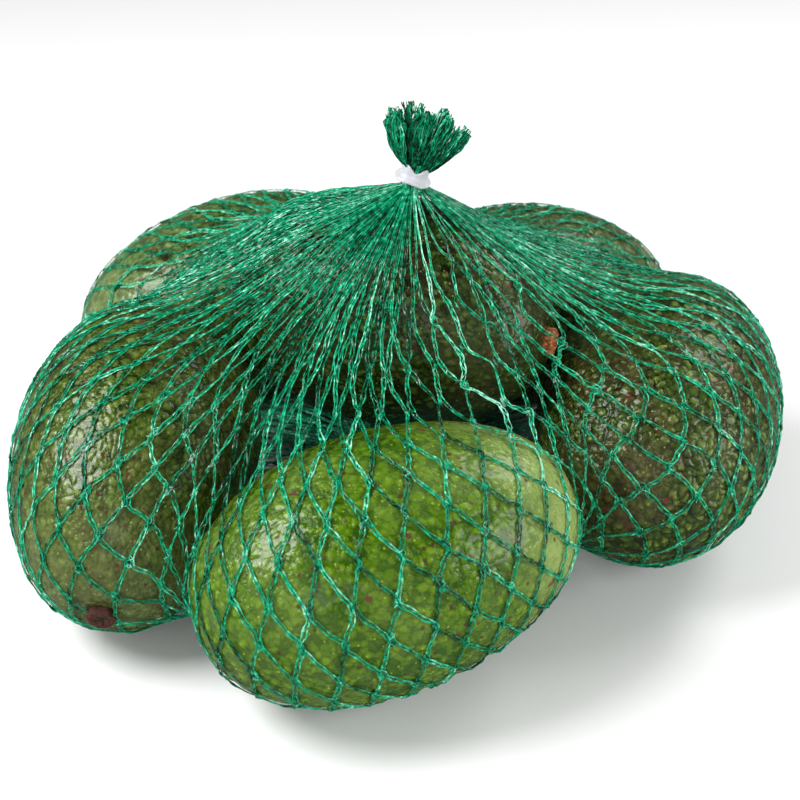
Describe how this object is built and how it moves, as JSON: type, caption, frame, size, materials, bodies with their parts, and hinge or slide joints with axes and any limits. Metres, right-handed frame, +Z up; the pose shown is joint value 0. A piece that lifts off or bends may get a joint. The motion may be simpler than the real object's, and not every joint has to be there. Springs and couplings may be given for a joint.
{
  "type": "mesh produce bag",
  "caption": "Green knitted net tube full of avocados, gathered and closed by a white clip at each end, with a short frayed tail of strands above the top clip.",
  "frame": {"origin": "on the table, at the middle of the bag's bounding box on plan", "axes": "+Z up, away from the table; -Y is the side the camera sees; +X to the right as seen from there"},
  "size_m": [0.2184, 0.2153, 0.1303],
  "materials": {
    "net": "slightly shiny extruded polyethylene strand",
    "clip": "slightly translucent moulded plastic",
    "skin_bright": "waxy, pebbled, yellow-green avocado skin",
    "skin_olive": "waxy, strongly pebbled, olive avocado skin",
    "skin_dark": "waxy, pebbled, dark green avocado skin",
    "stone": "smooth brown seed",
    "stem": "dry, cracked stem scar"
  },
  "bodies": {
    "bag": {"net_sleeve": "net", "base_gather": "net", "base_clip": "clip", "base_tail": "net"},
    "neck": {"neck_gather": "net"},
    "clip": {"neck_clip": "clip"},
    "tail": {"neck_tail": "net"},
    "avocado_front": {"avocado_front": "skin_bright", "stone_front": "stone", "stem_front": "stem"},
    "avocado_left": {"avocado_left": "skin_dark", "stone_left": "stone", "stem_left": "stem"},
    "avocado_right": {"avocado_right": "skin_olive", "stone_right": "stone", "stem_right": "stem"},
    "avocado_top": {"avocado_top": "skin_dark", "stone_top": "stone", "stem_top": "stem"},
    "avocado_back_left": {"avocado_back_left": "skin_olive", "stone_back_left": "stone", "stem_back_left": "stem"},
    "avocado_back_right": {"avocado_back_right": "skin_olive", "stone_back_right": "stone", "stem_back_right": "stem"}
  },
  "joints": [
    {"name": "neck_lift", "type": "slide", "parent": "bag", "child": "neck", "axis": [0, 0, 1], "range_m": [0, 0.045]},
    {"name": "clip_tilt", "type": "hinge", "parent": "neck", "child": "clip", "pos_m": [0.001, 0.007, 0.1055], "axis": [0, 1, 0], "range_deg": [-45, 25]},
    {"name": "tail_bend", "type": "hinge", "parent": "clip", "child": "tail", "pos_m": [0.0023, 0.007, 0.10949], "axis": [0.9511, 0, -0.309], "range_deg": [-25, 25]},
    {"name": "roll_front", "type": "hinge", "parent": "bag", "child": "avocado_front", "pos_m": [-0.005, -0.067, 0.03538], "axis": [0.9085, 0.4045, 0.1045], "range_deg": [-30, 30]},
    {"name": "roll_left", "type": "hinge", "parent": "bag", "child": "avocado_left", "pos_m": [-0.0735, -0.026, 0.03704], "axis": [-0.0969, -0.9221, -0.3746], "range_deg": [-30, 30]},
    {"name": "roll_right", "type": "hinge", "parent": "bag", "child": "avocado_right", "pos_m": [0.071, 0, 0.03672], "axis": [0.2722, 0.9494, 0.1564], "range_deg": [-30, 30]},
    {"name": "roll_top", "type": "hinge", "parent": "bag", "child": "avocado_top", "pos_m": [-0.005, 0.009, 0.065], "axis": [0.9334, -0.3583, -0.0175], "range_deg": [-30, 30]},
    {"name": "roll_back_left", "type": "hinge", "parent": "bag", "child": "avocado_back_left", "pos_m": [-0.054, 0.069, 0.03512], "axis": [-0.9366, -0.3043, -0.1736], "range_deg": [-30, 30]},
    {"name": "roll_back_right", "type": "hinge", "parent": "bag", "child": "avocado_back_right", "pos_m": [0.04, 0.069, 0.03426], "axis": [0.8936, 0.3978, -0.2079], "range_deg": [-30, 30]}
  ]
}
